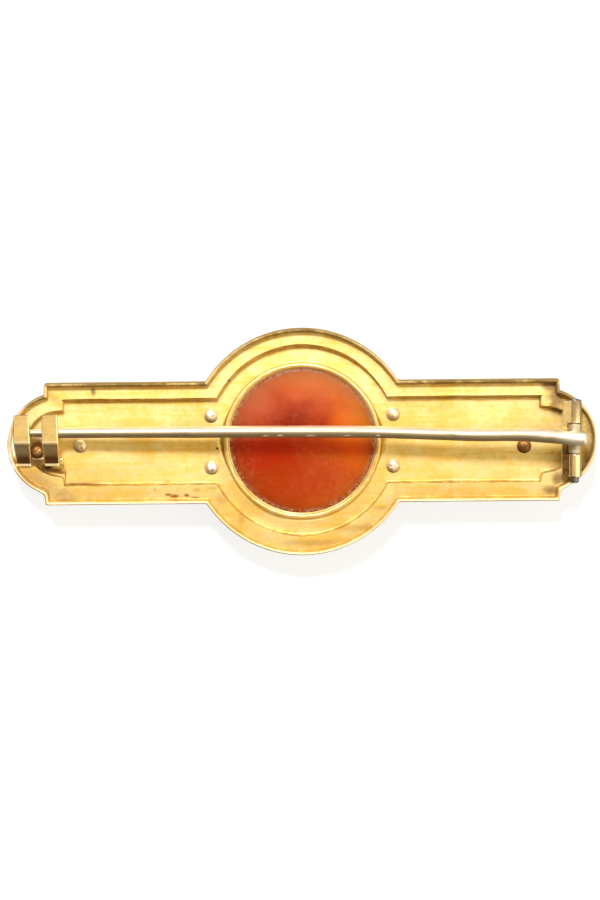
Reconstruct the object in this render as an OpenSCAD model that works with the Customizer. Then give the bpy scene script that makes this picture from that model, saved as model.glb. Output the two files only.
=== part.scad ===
// Gold bar brooch with a round cameo, lying face down on its front bezel.
// X runs along the bar to the hinge, Y across it, Z from the front to the back.
// The origin is on the resting surface, under the middle of the stone.

/* [Frame] */
// Half-length of the straight bar, middle to notch
bar_half_len = 26.2; // [24:0.1:32]
// Half-height of the bar
bar_half_h = 6.2; // [5.8:0.1:8]
// Radius of the round middle
middle_r = 11.6; // [11:0.1:15]
// Radius of the rounded ends
end_r = 5.2; // [5:0.1:5.7]
// How far the rounded ends reach past the bar
end_reach = 3.8; // [3.4:0.1:4.2]
// Width of the border, from the edge to the sunk panel
border_w = 1.9; // [1.4:0.05:2.1]
// Thickness of the upright rim
rim_w = 0.4; // [0.3:0.05:0.5]
// Height of the rim above the border, at the back
rim_rise = 0.75; // [0.4:0.05:1.2]
// Depth of the rim past the border, at the front
rim_front = 0.6; // [0.2:0.05:0.8]
// Depth of the panel below the border, seen from the back
panel_drop = 0.9; // [0.6:0.05:1.2]
// Thickness of the gold sheet
sheet_t = 0.45; // [0.35:0.05:0.5]

/* [Cameo] */
// Radius of the stone
stone_r = 7.55; // [6.8:0.05:7.8]
// Thickness of the stone without its relief
stone_t = 2.1; // [1.8:0.1:3]
// Height of the carved relief
relief_h = 0.7; // [0.4:0.05:1]
// Depth of the relief's top inside the front bezel
relief_clear = 0.2; // [0.1:0.05:0.5]
// Radius of the field that the carved head fills
relief_r = 6.3; // [5:0.1:6.4]
// Bevel round the back of the stone
stone_bevel = 0.15; // [0.05:0.05:0.3]

/* [Setting] */
// Thickness of the collar's wall
collar_w = 0.45; // [0.35:0.05:0.55]
// Height of the collar above the panel, at the back
collar_rise = 0.5; // [0.45:0.05:0.9]
// Width of the ledge that the stone's back sits on
seat_w = 0.12; // [0.08:0.02:0.3]
// Width of the front lip over the stone's edge
lip_w = 0.35; // [0.2:0.05:0.5]
// Thickness of the front bezel outside the collar
bezel_w = 0.3; // [0.15:0.05:0.5]
// Width of the foot ring that seats on the panel's front
foot_ring_w = 0.7; // [0.5:0.05:0.8]
// Height of the foot ring
foot_ring_h = 0.5; // [0.3:0.05:0.7]

/* [Rivets] */
// Radius of a rivet's shank
shank_r = 0.28; // [0.2:0.02:0.36]
// Radius of the domed head at the back
head_r = 0.55; // [0.45:0.05:0.6]
// Height of the domed head
head_h = 0.4; // [0.25:0.05:0.5]
// Radius of the burr under the head
burr_r = 0.72; // [0.62:0.02:0.76]
// Height of the burr
burr_h = 0.12; // [0.08:0.02:0.2]
// Radius of the plain stud at the front
stud_r = 0.7; // [0.5:0.05:0.75]
// Height of the plain stud
stud_h = 0.45; // [0.3:0.05:0.6]
// Distance of the middle rivets from the collar
rivet_off = 1.65; // [1.6:0.01:1.8]
// Distance of the end rivets from the notch
rivet_from_notch = 3.5; // [3.2:0.1:6]

/* [Hinge] */
// Radius of the knuckles
knuckle_r = 0.68; // [0.6:0.02:0.72]
// Radius of the hinge rod
rod_r = 0.42; // [0.3:0.02:0.44]
// Length of each outer knuckle
outer_len = 2.3; // [2:0.1:2.6]
// Length of the middle knuckle
middle_len = 3; // [2.4:0.1:3.2]
// Distance of the hinge axis from the brooch's tip
hinge_in = 2.35; // [2.3:0.05:2.6]
// Place of the hinge's middle across the bar
hinge_y = 0.3; // [0:0.05:0.4]
// Thickness of the base plate
base_t = 0.22; // [0.15:0.01:0.25]
// Width of the stop strip beside the knuckles
stop_w = 0.55; // [0.4:0.05:0.6]
// Length of rod that stands out past the lower knuckle
rod_out = 0.65; // [0.2:0.05:0.9]

/* [Pin] */
// Radius of the pin wire
wire_r = 0.62; // [0.5:0.02:0.64]
// Length of wire past the hinge axis
root_out = 1.1; // [0.9:0.05:1.15]
// Wall left between the hinge bore and the wire
wire_seat = 0.1; // [0.08:0.01:0.14]
// Place of the pin across the bar at the hooks
pin_y = 1.3; // [1.1:0.05:1.6]
// Place along the bar where the wire starts to bend
bend_x = 6; // [0:0.5:10]

/* [Catch] */
// Height of the hooks above the border
hook_h = 2.3; // [2:0.05:2.6]
// Width of each hook
hook_w = 1.55; // [1.2:0.05:1.6]
// Thickness of the hook strip
hook_t = 0.4; // [0.3:0.05:0.5]
// Gap between the two hooks
hook_gap = 1.25; // [0.9:0.05:1.4]
// Length of the flat top of each hook
hook_top = 2.85; // [2.4:0.05:3]
// How far the sloping leg runs out to its foot
hook_run = 2.35; // [2:0.05:2.4]
// Thickness of the foot plate
foot_t = 0.25; // [0.2:0.01:0.4]
// Width of the foot plate
foot_w = 0.65; // [0.6:0.05:1.3]

/* [Fits] */
// Gap where one piece seats on another
seat_gap = 0.03; // [0.02:0.01:0.05]
// Gap between parts that turn on each other
run_gap = 0.04; // [0.03:0.01:0.06]
// Gap between the pin and the underside of the hooks
hook_clear = 0.08; // [0.05:0.01:0.15]
// Gap between the knuckles, end to end
knuckle_gap = 0.1; // [0.06:0.01:0.15]
// Height of the knuckles above the rim
over_rim = 0.07; // [0.04:0.01:0.3]

/* [Hidden] */
$fn = 96;
fine = 32;
over = 1;

// Heights, from the resting surface up
ground_z = relief_h + relief_clear;
panel_back = ground_z + stone_t;
panel_front = panel_back - sheet_t;
border_back = panel_back + panel_drop;
border_front = border_back - sheet_t;
rim_back = border_back + rim_rise;
rim_low = border_front - rim_front;
collar_top = panel_back + collar_rise;
axis_z = rim_back + over_rim + knuckle_r;
hook_z = border_back + hook_h;

// Plan sizes
tip_x = bar_half_len + end_reach;
end_x = tip_x - end_r;
inner_end_r = end_r - rim_w;
collar_in = stone_r + seat_gap;
collar_out = collar_in + collar_w;
bezel_out = collar_out + bezel_w;

// Rivet places: two each side of the collar, one near each notch, one between the hooks
rivet_turn = 16;
rivet_ring = collar_out + rivet_off;
rivet_side_x = rivet_ring * cos(rivet_turn);
rivet_side_y = rivet_ring * sin(rivet_turn);
rivet_far_x = bar_half_len - rivet_from_notch;
rivet_from_tip = 2.9;
rivet_low_left = -0.3;
rivet_low_right = -0.75;
rivet_low_hooks = -0.85;
rivet_sites = [
    [-rivet_side_x, rivet_side_y], [-rivet_side_x, -rivet_side_y],
    [rivet_side_x, rivet_side_y], [rivet_side_x, -rivet_side_y],
    [-rivet_far_x, rivet_low_left], [rivet_far_x, rivet_low_right],
    [rivet_from_tip - tip_x, rivet_low_hooks]];

// Hinge places
axis_x = tip_x - hinge_in;
bore_r = rod_r + run_gap;
stop_x = axis_x - knuckle_r - run_gap - stop_w;
outer_start = middle_len / 2 + knuckle_gap;
rod_head = 0.1;
base_end_x = axis_x + knuckle_r;
base_half = sqrt(pow(inner_end_r, 2) - pow(base_end_x - end_x, 2)) - hinge_y - run_gap;

// Hook places
left_hook_x = 1.7 - tip_x;
right_hook_x = left_hook_x + hook_w + hook_gap;
ridge_y = pin_y - 0.94;
hook_foot_y = ridge_y - hook_run;
foot_back = 0.1;
foot_left = 0.6;
foot_right = 0.3;

// Pin wire: its heights at the hooks and at the hinge, and its taper from the tip to the root
taper_at_hooks = 0.86;
pin_hook_z = hook_z - hook_t - hook_clear - taper_at_hooks * wire_r;
over_hinge_z = axis_z + bore_r + wire_seat + wire_r;
root_x = axis_x + root_out;
point_x = left_hook_x - 0.4;
wire_sides = 16;
bend_soft = 4;
// Columns: share of the way from the tip to the root, share of the wire's radius
taper = [[0, 0.12], [0.003, 0.24], [0.012, 0.42], [0.04, 0.68], [0.07, taper_at_hooks],
         [0.25, 0.92], [0.4, 1], [0.5, 1], [0.58, 1], [0.66, 1], [0.76, 1], [0.88, 1], [1, 1]];

// A quarter of an oval, from its foot out at radius r to its top on the axis at height h
function dome(r, h) = [for (turn = [0:15:90]) [r * cos(turn), h * sin(turn)]];

// The same list from its last point to its first
function reversed(list) = [for (i = [len(list) - 1:-1:0]) list[i]];

// Across the bar: straight from the hooks to bend_x, then softly down to the hinge
function pin_across(x) =
    let (past = x - bend_x, slope = (pin_y - hinge_y) / (root_x - bend_x))
    pin_y - slope * (past + sqrt(past * past + bend_soft * bend_soft)) / 2;

// Up: one straight rise from the hooks to the hinge
function pin_up(x) =
    pin_hook_z + (over_hinge_z - pin_hook_z) * (x - right_hook_x) / (axis_x - right_hook_x);

// A flat plate with the brooch's outline, drawn in by inset, from z0 up to z1
module plate(inset, z0, z1) {
    half_x = bar_half_len - inset;
    half_y = bar_half_h - inset;
    translate([0, 0, z0]) {
        cylinder(r = middle_r - inset, h = z1 - z0);
        translate([-half_x, -half_y, 0]) cube([2 * half_x, 2 * half_y, z1 - z0]);
        for (side = [-1, 1])
            translate([side * end_x, 0, 0]) cylinder(r = end_r - inset, h = z1 - z0);
    }
}

// A bar of constant section along Y, from y0 to y1: its outline is [x, z] from the hinge axis
module along_y(outline, y0, y1) {
    translate([axis_x, y1, axis_z]) rotate([90, 0, 0])
        linear_extrude(height = y1 - y0) polygon(outline);
}

// A round bar on the hinge axis, from y0 to y1
module on_axis(r, y0, y1) {
    translate([axis_x, y1, axis_z]) rotate([90, 0, 0]) cylinder(r = r, h = y1 - y0);
}

// Tray: rim, border and sunk panel, all of one sheet, with a hole for the setting
module frame() {
    step_in = border_w - sheet_t;
    color("goldenrod")
    difference() {
        union() {
            plate(0, rim_low, rim_back);
            plate(step_in, panel_front, border_back);
        }
        plate(rim_w, border_back, rim_back + over);
        plate(border_w, panel_back, rim_back + over);
        difference() {
            plate(rim_w, rim_low - over, border_front);
            plate(step_in, rim_low - 2 * over, border_front + over);
        }
        translate([0, 0, panel_front - over])
            cylinder(r = collar_out + seat_gap, h = rim_back - panel_front + 2 * over);
        for (site = rivet_sites)
            translate([site[0], site[1], panel_front - over])
                cylinder(r = shank_r + seat_gap, h = sheet_t + 2 * over, $fn = fine);
    }
}

// Setting: collar at the back, seat ledge inside it, front bezel and a foot ring on the panel
module bezel() {
    round_r = collar_w / 2;
    round_z = collar_top - round_r;
    ledge_step = 0.04;
    ledge_z = round_z - ledge_step;
    seat_z = panel_back + seat_gap;
    ring_z = panel_front - seat_gap;
    lip_in = stone_r - lip_w;
    lip_edge = 0.15;
    rest_in = collar_in + 0.15;
    corner = 0.1;
    top_round = [for (turn = [0:30:180])
        [collar_in + round_r + round_r * cos(turn), round_z + round_r * sin(turn)]];
    color("goldenrod")
    rotate_extrude() polygon(concat(
        [[rest_in, 0], [bezel_out - corner, 0], [bezel_out, corner],
         [bezel_out, ring_z - foot_ring_h - corner], [collar_out + foot_ring_w, ring_z - foot_ring_h],
         [collar_out + foot_ring_w, ring_z], [collar_out, ring_z]],
        top_round,
        [[collar_in, ledge_z], [stone_r - seat_w, (ledge_z + seat_z) / 2],
         [stone_r - seat_w, seat_z], [collar_in, seat_z],
         [collar_in, ground_z - seat_gap], [lip_in, ground_z - seat_gap],
         [lip_in, ground_z - seat_gap - lip_edge]]));
}

// Outline of the carved bust, in shares of relief_r: crown, face, throat, breast, nape, knot
bust_outline = [
    [0.02, 0.63], [-0.14, 0.6], [-0.27, 0.5], [-0.345, 0.36], [-0.36, 0.22], [-0.33, 0.16],
    [-0.385, 0.07], [-0.45, -0.02], [-0.375, -0.05], [-0.4, -0.115], [-0.365, -0.135],
    [-0.39, -0.165], [-0.355, -0.195], [-0.375, -0.25], [-0.33, -0.3], [-0.2, -0.31],
    [-0.12, -0.36], [-0.1, -0.5], [-0.2, -0.65], [-0.38, -0.75], [-0.28, -0.84], [0, -0.93],
    [0.25, -0.9], [0.47, -0.76], [0.4, -0.64], [0.24, -0.53], [0.21, -0.38], [0.24, -0.24],
    [0.36, -0.2], [0.55, -0.13], [0.64, 0], [0.62, 0.13], [0.5, 0.2], [0.42, 0.3],
    [0.36, 0.45], [0.2, 0.58]];
// Outline of the head without its knot of hair
head_outline = [
    [0.02, 0.6], [-0.24, 0.49], [-0.32, 0.36], [-0.33, 0.2], [-0.31, 0.03], [-0.33, -0.1],
    [-0.33, -0.24], [-0.2, -0.28], [-0.02, -0.3], [0.06, -0.5], [0.2, -0.62], [0.16, -0.3],
    [0.34, 0.1], [0.36, 0.35], [0.2, 0.55]];
// Outline of the hair, brow to knot
hair_outline = [
    [0.02, 0.61], [-0.24, 0.49], [-0.26, 0.35], [-0.14, 0.22], [-0.06, 0.05], [0.04, -0.06],
    [0.2, -0.14], [0.36, -0.17], [0.53, -0.11], [0.61, 0], [0.59, 0.12], [0.46, 0.19],
    [0.39, 0.32], [0.34, 0.44], [0.2, 0.56]];

// Columns: outline, share of the relief's height
relief_steps = [[bust_outline, 0.45], [head_outline, 0.75], [hair_outline, 1]];

// Cameo: a round stone with a bevelled back, its head carved in steps on the front
module cameo() {
    color("orangered") {
        rotate_extrude() polygon([
            [0, ground_z], [stone_r, ground_z], [stone_r, panel_back - stone_bevel],
            [stone_r - stone_bevel, panel_back], [0, panel_back]]);
        for (step = relief_steps)
            translate([0, 0, ground_z - step[1] * relief_h])
                linear_extrude(height = step[1] * relief_h + over)
                    polygon([for (point = step[0]) relief_r * point]);
    }
}

// Rivet through the panel: domed head and burr at the back, plain stud at the front
module rivet(site) {
    low = panel_front - seat_gap;
    high = panel_back + seat_gap;
    head = [for (point = dome(head_r, head_h)) [point[0], high + burr_h + point[1]]];
    stud = [for (point = reversed(dome(stud_r, stud_h))) [point[0], low - point[1]]];
    color("lightsalmon")
    translate([site[0], site[1], 0])
        rotate_extrude($fn = fine) polygon(concat(stud, [[shank_r, low], [shank_r, high],
            [burr_r, high], [burr_r, high + burr_h]], head));
}

// One hook: a strip with a flat top and a sloping leg, a little wider at its foot
module hook(x) {
    foot_z = border_back + seat_gap + foot_t;
    rise = hook_z - foot_z;
    slope = atan2(rise, hook_run);
    inner_foot = hook_foot_y + hook_t / sin(slope);
    inner_knee = inner_foot + (rise - hook_t) / tan(slope);
    top_end = ridge_y + hook_top;
    waist = 0.08;
    half = hook_w / 2;
    intersection() {
        translate([x - half, 0, 0]) rotate([90, 0, 90]) linear_extrude(height = hook_w)
            polygon([[hook_foot_y, foot_z - foot_t / 2], [hook_foot_y, foot_z],
                [ridge_y, hook_z], [top_end, hook_z], [top_end, hook_z - hook_t],
                [inner_knee, hook_z - hook_t], [inner_foot, foot_z],
                [inner_foot, foot_z - foot_t / 2]]);
        translate([x, 0, border_back]) linear_extrude(height = hook_h + over)
            polygon([[-half, hook_foot_y], [waist - half, ridge_y], [-half, top_end],
                [half, top_end], [half - waist, ridge_y], [half, hook_foot_y]]);
    }
}

// Catch: two hooks side by side on a foot plate, with a post down to the panel
module catch() {
    plate_z = border_back + seat_gap;
    plate_y = hook_foot_y - foot_back;
    post_x = right_hook_x - hook_w / 2;
    plate_end = right_hook_x + hook_w / 2 + foot_right;
    color("gold") {
        hook(left_hook_x);
        hook(right_hook_x);
        translate([left_hook_x - foot_left, plate_y, plate_z])
            cube([plate_end - left_hook_x + foot_left, foot_w, foot_t]);
        translate([post_x, plate_y, panel_back + seat_gap])
            cube([plate_end - post_x, foot_w, panel_drop + foot_t / 2]);
    }
}

// Hinge base: plate on the border, stop strip, two outer knuckles and the leaves that hold them
module hinge_base() {
    base_z = border_back + seat_gap;
    foot = base_z - axis_z;
    stop = stop_x - axis_x;
    leaf_top = 0.45;
    leaf_in = 0.4;
    upper_leaf = [[stop, foot], [leaf_in, foot], [leaf_in, 0], [-0.3, leaf_top], [stop, leaf_top]];
    lower_leaf = [[stop, foot], [leaf_in, foot], [leaf_in, 0], [-0.45, leaf_top], [stop, -0.8]];
    color("gold")
    difference() {
        union() {
            translate([stop_x, hinge_y - base_half, base_z])
                cube([base_end_x - stop_x, 2 * base_half, base_t]);
            translate([stop_x, hinge_y - outer_start, base_z])
                cube([stop_w, 2 * outer_start, axis_z - base_z]);
            along_y(upper_leaf, hinge_y + outer_start, hinge_y + base_half);
            along_y(lower_leaf, hinge_y - base_half, hinge_y - outer_start);
            on_axis(knuckle_r, hinge_y + outer_start, hinge_y + outer_start + outer_len);
            on_axis(knuckle_r, hinge_y - outer_start - outer_len, hinge_y - outer_start);
        }
        on_axis(bore_r, hinge_y - outer_start - outer_len - over, hinge_y + outer_start + outer_len + over);
    }
}

// Rod through the three knuckles
module hinge_rod() {
    color("dimgray")
    on_axis(rod_r, hinge_y - outer_start - outer_len - rod_out,
        hinge_y + outer_start + outer_len + rod_head);
}

// The pin's wire: rings of wire_sides points along its path, joined by quads, ends closed
module wire() {
    rings = len(taper);
    points = [for (row = taper) let (x = point_x + row[0] * (root_x - point_x))
        for (side = [0:wire_sides - 1]) let (turn = 360 * side / wire_sides)
        [x, pin_across(x) + row[1] * wire_r * cos(turn), pin_up(x) + row[1] * wire_r * sin(turn)]];
    walls = [for (ring = [0:rings - 2]) for (side = [0:wire_sides - 1])
        let (next = (side + 1) % wire_sides, low = ring * wire_sides, high = low + wire_sides)
        [low + side, high + side, high + next, low + next]];
    tip = [for (side = [0:wire_sides - 1]) side];
    root = [for (side = [wire_sides - 1:-1:0]) (rings - 1) * wire_sides + side];
    polyhedron(points, concat(walls, [tip, root]));
}

// Pin: the wire lies over its middle knuckle and turns with it on the rod
module pin() {
    color("khaki")
    difference() {
        union() {
            wire();
            on_axis(knuckle_r, hinge_y - middle_len / 2, hinge_y + middle_len / 2);
        }
        on_axis(bore_r, hinge_y - middle_len / 2 - over, hinge_y + middle_len / 2 + over);
    }
}

frame();
bezel();
cameo();
catch();
hinge_base();
hinge_rod();
pin();
for (i = [0:len(rivet_sites) - 1])
    rivet(rivet_sites[i]);
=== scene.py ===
import math
import bpy
import numpy as np
from mathutils import Matrix, Vector


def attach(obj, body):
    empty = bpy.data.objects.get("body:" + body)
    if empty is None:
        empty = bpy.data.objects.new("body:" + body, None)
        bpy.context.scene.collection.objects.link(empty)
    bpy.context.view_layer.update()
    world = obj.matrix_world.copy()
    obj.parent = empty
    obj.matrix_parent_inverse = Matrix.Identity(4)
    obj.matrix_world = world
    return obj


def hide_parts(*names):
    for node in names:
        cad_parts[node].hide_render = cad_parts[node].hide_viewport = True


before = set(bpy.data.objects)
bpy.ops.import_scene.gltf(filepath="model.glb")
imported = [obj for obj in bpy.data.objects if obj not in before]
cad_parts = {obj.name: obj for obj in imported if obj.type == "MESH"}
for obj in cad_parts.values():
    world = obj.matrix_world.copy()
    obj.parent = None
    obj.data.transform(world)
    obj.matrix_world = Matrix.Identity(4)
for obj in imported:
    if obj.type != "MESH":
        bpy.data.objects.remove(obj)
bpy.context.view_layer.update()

# Studio: a pale table, a soft key light beyond the brooch's upper edge, a bright sky on that side and
# a dim one on the other, so that polished gold has something dark to mirror. The camera looks almost
# straight down on the back of the brooch, leaning a little towards its upper edge.
mm = 0.001
photo_height = 900
photo_px_per_m = 9800
camera_lean = math.radians(7)
camera_turn = math.radians(-0.53)
camera_away = 300 * mm
aim = Vector((-0.23 * mm, -0.86 * mm, 3.75 * mm))

camera = bpy.data.objects.new("camera", bpy.data.cameras.new("camera"))
bpy.context.collection.objects.link(camera)
bpy.context.scene.camera = camera
camera.data.lens = camera.data.sensor_width * camera_away * photo_px_per_m / photo_height
camera.matrix_world = (
    Matrix.Translation(aim + camera_away * Vector((0, math.sin(camera_lean), math.cos(camera_lean))))
    @ Matrix.Rotation(-camera_lean, 4, "X") @ Matrix.Rotation(camera_turn, 4, "Z")
)
camera.data.clip_start = 1 * mm
camera.data.clip_end = 10
bpy.context.scene.view_settings.view_transform = "Standard"

key_lean = math.radians(35)
key_side = math.radians(-6)
key_away = 0.6
key_disc = 0.11
key_watts = 4.6
key_colour = (0.95, 0.95, 1.15)
key = bpy.data.objects.new("key_light", bpy.data.lights.new("key_light", "AREA"))
bpy.context.collection.objects.link(key)
key.data.shape = "DISK"
key.data.size = key_disc
key.data.energy = key_watts
key.data.color = key_colour
key.matrix_world = (Matrix.Rotation(key_side, 4, "Y") @ Matrix.Rotation(-key_lean, 4, "X")
                    @ Matrix.Translation((0, 0, key_away)))


def feed(node, values):
    """Gives a node its inputs by name or number: another node's output is linked, anything else is set."""
    for socket, value in dict(values).items():
        if isinstance(value, bpy.types.NodeSocket):
            node.id_data.links.new(value, node.inputs[socket])
        else:
            node.inputs[socket].default_value = value


def add(beside, kind, values=(), **settings):
    """Adds one node with its inputs and settings, to a node tree or beside any output that is in it."""
    made = beside.id_data.nodes.new(kind)
    for name, value in settings.items():
        setattr(made, name, value)
    feed(made, values)
    return made


def spread(value, low, high, to_low=0.0, to_high=1.0):
    """The value drawn out smoothly, from low..high to to_low..to_high."""
    ends = {"From Min": low, "From Max": high, "To Min": to_low, "To Max": to_high}
    made = add(value, "ShaderNodeMapRange", {"Value": value, **ends}, interpolation_type="SMOOTHSTEP")
    return made.outputs[0]


def blend(share, first, second):
    """Two colours mixed by a share, from all of the first at 0 to all of the second at 1."""
    ends = [end if isinstance(end, bpy.types.NodeSocket) else (*end, 1) for end in (first, second)]
    return add(share, "ShaderNodeMix", {0: share, 6: ends[0], 7: ends[1]}, data_type="RGBA").outputs[2]


def as_seen(lighting, backdrop):
    """One shader for light and mirrored rays, and another for where the camera looks straight at it."""
    straight = add(lighting, "ShaderNodeLightPath").outputs["Is Camera Ray"]
    return add(lighting, "ShaderNodeMixShader", {0: straight, 1: lighting, 2: backdrop}).outputs[0]


sky = bpy.data.worlds.new("studio_sky")
bpy.context.scene.world = sky
sky.use_nodes = True
sky_tree = sky.node_tree
sky_tree.nodes.clear()
# Columns: degrees from straight up towards the brooch's upper edge, then the colour of the sky there
sky_steps = [(-90, (0.10, 0.07, 0.04)), (-22, (0.09, 0.062, 0.036)), (-11.5, (0.13, 0.09, 0.05)),
             (-7.5, (0.95, 0.77, 0.47)), (0, (1.0, 0.81, 0.51)), (8, (0.42, 0.32, 0.16)),
             (25, (0.33, 0.26, 0.13)), (42, (0.7, 0.66, 0.54)), (90, (1.0, 0.96, 0.86))]
# The sky brightens to the right, between these two shares of the way across
side_light = (1.5, 1.36, 1.02)
side_from, side_full = 0.12, 0.5
backdrop_colour = (0.9, 0.9, 0.89, 1)

way = add(sky_tree, "ShaderNodeTexCoord").outputs["Generated"]
axes = add(sky_tree, "ShaderNodeSeparateXYZ", {0: way}).outputs
sky_lean = add(sky_tree, "ShaderNodeMath", {0: axes[1], 1: axes[2]}, operation="ARCTAN2").outputs[0]
ramp_place = add(sky_tree, "ShaderNodeMapRange", {"Value": sky_lean, "From Min": -math.pi / 2,
                                                  "From Max": math.pi / 2}).outputs[0]
ramp = add(sky_tree, "ShaderNodeValToRGB", {0: ramp_place})
stops = ramp.color_ramp.elements
for degrees, _ in sky_steps[1:-1]:
    stops.new(0.5 + degrees / 180)
for stop, (_, colour) in zip(stops, sky_steps):
    stop.color = (*colour, 1)
sky_colour = blend(spread(axes[0], side_from, side_full), ramp.outputs[0], side_light)
studio = add(sky_tree, "ShaderNodeBackground", {"Color": sky_colour}).outputs[0]
backdrop = add(sky_tree, "ShaderNodeBackground", {"Color": backdrop_colour}).outputs[0]
add(sky_tree, "ShaderNodeOutputWorld", {"Surface": as_seen(studio, backdrop)})

table_half = 1.5
table_grey = (0.22, 0.22, 0.22, 1)
table_glow_colour = (1, 1, 0.99, 1)
table_glow = 0.82
table = bpy.data.objects.new("table", bpy.data.meshes.new("table"))
bpy.context.collection.objects.link(table)
table.data.from_pydata([(-table_half, -table_half, 0), (table_half, -table_half, 0),
                        (table_half, table_half, 0), (-table_half, table_half, 0)], [], [(0, 1, 2, 3)])
paper_white = bpy.data.materials.new("paper_white")
paper_white.use_nodes = True
paper_tree = paper_white.node_tree
paper_tree.nodes.clear()
paper = add(paper_tree, "ShaderNodeBsdfDiffuse", {"Color": table_grey}).outputs[0]
glow = add(paper_tree, "ShaderNodeEmission", {"Color": table_glow_colour, "Strength": table_glow}).outputs[0]
bright_paper = add(paper_tree, "ShaderNodeAddShader", {0: paper, 1: glow}).outputs[0]
add(paper_tree, "ShaderNodeOutputMaterial", {"Surface": as_seen(paper, bright_paper)})
table.data.materials.append(paper_white)

# Tray: the body of the brooch, raised from one sheet of gold. Its edge is turned up into a thin rim
# round a flat border, and the panel inside is sunk by a soft step, pierced in the middle for the setting.
bar_half_len = 26.2 * mm
bar_half_h = 6.2 * mm
middle_r = 11.6 * mm
end_r = 5.2 * mm
end_x = 24.8 * mm
panel_z = 3.0 * mm
border_z = 3.9 * mm
rim_low_z = 2.85 * mm
border_w = 1.9 * mm
setting_hole_r = 8.06 * mm
# The upper notches are cut sharp and the lower ones are softer
upper_notch_soft = 0.1 * mm
lower_notch_soft = 0.45 * mm


def outline(inset, share, notch_soft):
    """A quarter of the brooch's outline, drawn in by inset, from the top of the round middle to the tip.

    Four stretches follow each other: an arc of the round middle, the bar's long side, the notch and an
    arc of the rounded end. share runs from 0 to 4, one unit a stretch. Where two of them meet, the walk
    along the one eases out as the next eases in, by ramp(d) = (d + sqrt(d^2 + soft^2)) / 2, which rounds
    the corner. Each point is the start plus what has been walked along every stretch.
    """
    corner_soft = 0.1 * mm
    mid_r, tip_r = middle_r - inset, end_r - inset
    half_x, half_y = bar_half_len - inset, bar_half_h - inset
    join = np.arcsin(half_y / mid_r)
    notch_y = np.sqrt(tip_r**2 - (half_x - end_x) ** 2)
    tip_turn = np.arctan2(notch_y, half_x - end_x)
    lengths = [mid_r * (np.pi / 2 - join), half_x - mid_r * np.cos(join), half_y - notch_y, tip_r * tip_turn]
    starts = [0 * inset, lengths[0], lengths[0] + lengths[1], lengths[0] + lengths[1] + lengths[2]]
    walk = sum(np.clip(share - k, 0, 1) * lengths[k] for k in range(4))
    softs = [corner_soft, corner_soft, notch_soft]
    ease = [(walk - start + np.sqrt((walk - start) ** 2 + soft**2)) / 2
            for start, soft in zip(starts[1:], softs)]
    walked = [walk - ease[0], ease[0] - ease[1], ease[1] - ease[2], ease[2]]
    x = (mid_r * np.sin(walked[0] / mid_r) + walked[1]
         + tip_r * (np.cos(tip_turn - walked[3] / tip_r) - np.cos(tip_turn)))
    y = (mid_r * np.cos(walked[0] / mid_r) - walked[2]
         + tip_r * (np.sin(tip_turn - walked[3] / tip_r) - np.sin(tip_turn)))
    return x, y


stretch_steps = 26
even = np.linspace(0, 1, stretch_steps + 1)[:-1]
quarter_share = np.concatenate([np.sin(even * np.pi / 2), 1.5 - np.cos(even * np.pi) / 2,
                                2.5 - np.cos(even[::2] * np.pi) / 2, 4 - np.cos(even * np.pi / 2), [4.0]])
quarters = [(quarter_share[::-1], 1, 1), (quarter_share[1:], -1, 1),
            (quarter_share[-2::-1], -1, -1), (quarter_share[1:-1], 1, -1)]
edge_share = np.concatenate([share for share, _, _ in quarters])
edge_right = np.concatenate([np.full(len(share), right) for share, right, _ in quarters])
edge_up = np.concatenate([np.full(len(share), up) for share, _, up in quarters])


def whole_outline(inset):
    """All four quarters of the outline for rows of insets, anticlockwise from the right tip."""
    x, y = outline(inset, edge_share, np.where(edge_up > 0, upper_notch_soft, lower_notch_soft))
    return edge_right * x, edge_up * y


def rounded(corners, reach, closed=True, steps=4):
    """A polyline with its corners rounded by quadratic curves.

    A corner c becomes (1-t)^2 a + 2t(1-t) c + t^2 b, with a and b reach away along its two sides. One
    plain point stands on each side of the curve, so that the flat stretches shade flat. An open line
    keeps its two ends.
    """
    c = np.array(corners, float)
    r = np.broadcast_to(np.asarray(reach, float), len(c))[:, None, None]
    before = np.roll(c, 1, axis=0) - c
    after = np.roll(c, -1, axis=0) - c
    before = (before / np.linalg.norm(before, axis=1, keepdims=True))[:, None]
    after = (after / np.linalg.norm(after, axis=1, keepdims=True))[:, None]
    t = np.linspace(0, 1, steps + 1)[None, :, None]
    middle = c[:, None]
    a, b = middle + r * before, middle + r * after
    curve = (1 - t) ** 2 * a + 2 * t * (1 - t) * middle + t**2 * b
    support = 1.35
    line = np.concatenate([middle + support * r * before, curve, middle + support * r * after], axis=1)
    if closed:
        return line.reshape(-1, 2)
    return np.vstack([c[:1], line[1:-1].reshape(-1, 2), c[-1:]])


def shell(points, joined=False):
    """Faces of a closed skin over rings of points (rings x around x 3), turned to face outwards.

    Quads join neighbouring rings. The last ring joins the first one, or each end ring gets one cap.
    """
    rings, around = points.shape[:2]
    number = np.arange(rings * around).reshape(rings, around)
    if joined:
        number = np.vstack([number, number[:1]])
    side = np.roll(number, -1, axis=1)
    quads = np.stack([number[:-1], side[:-1], side[1:], number[1:]], axis=-1).reshape(-1, 4)
    caps = [] if joined else [number[0, ::-1], number[-1]]
    flat = points.reshape(-1, 3)
    triangles = [quads[:, [0, 1, 2]], quads[:, [0, 2, 3]]]
    triangles += [np.stack([np.full(around - 2, cap[0]), cap[1:-1], cap[2:]], axis=1) for cap in caps]
    p, q, r = flat[np.vstack(triangles)].transpose(1, 0, 2)
    if np.einsum("ij,ij", p, np.cross(q, r)) < 0:
        quads, caps = quads[:, ::-1], [cap[::-1] for cap in caps]
    return flat, [*quads.tolist(), *[cap.tolist() for cap in caps]]


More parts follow.
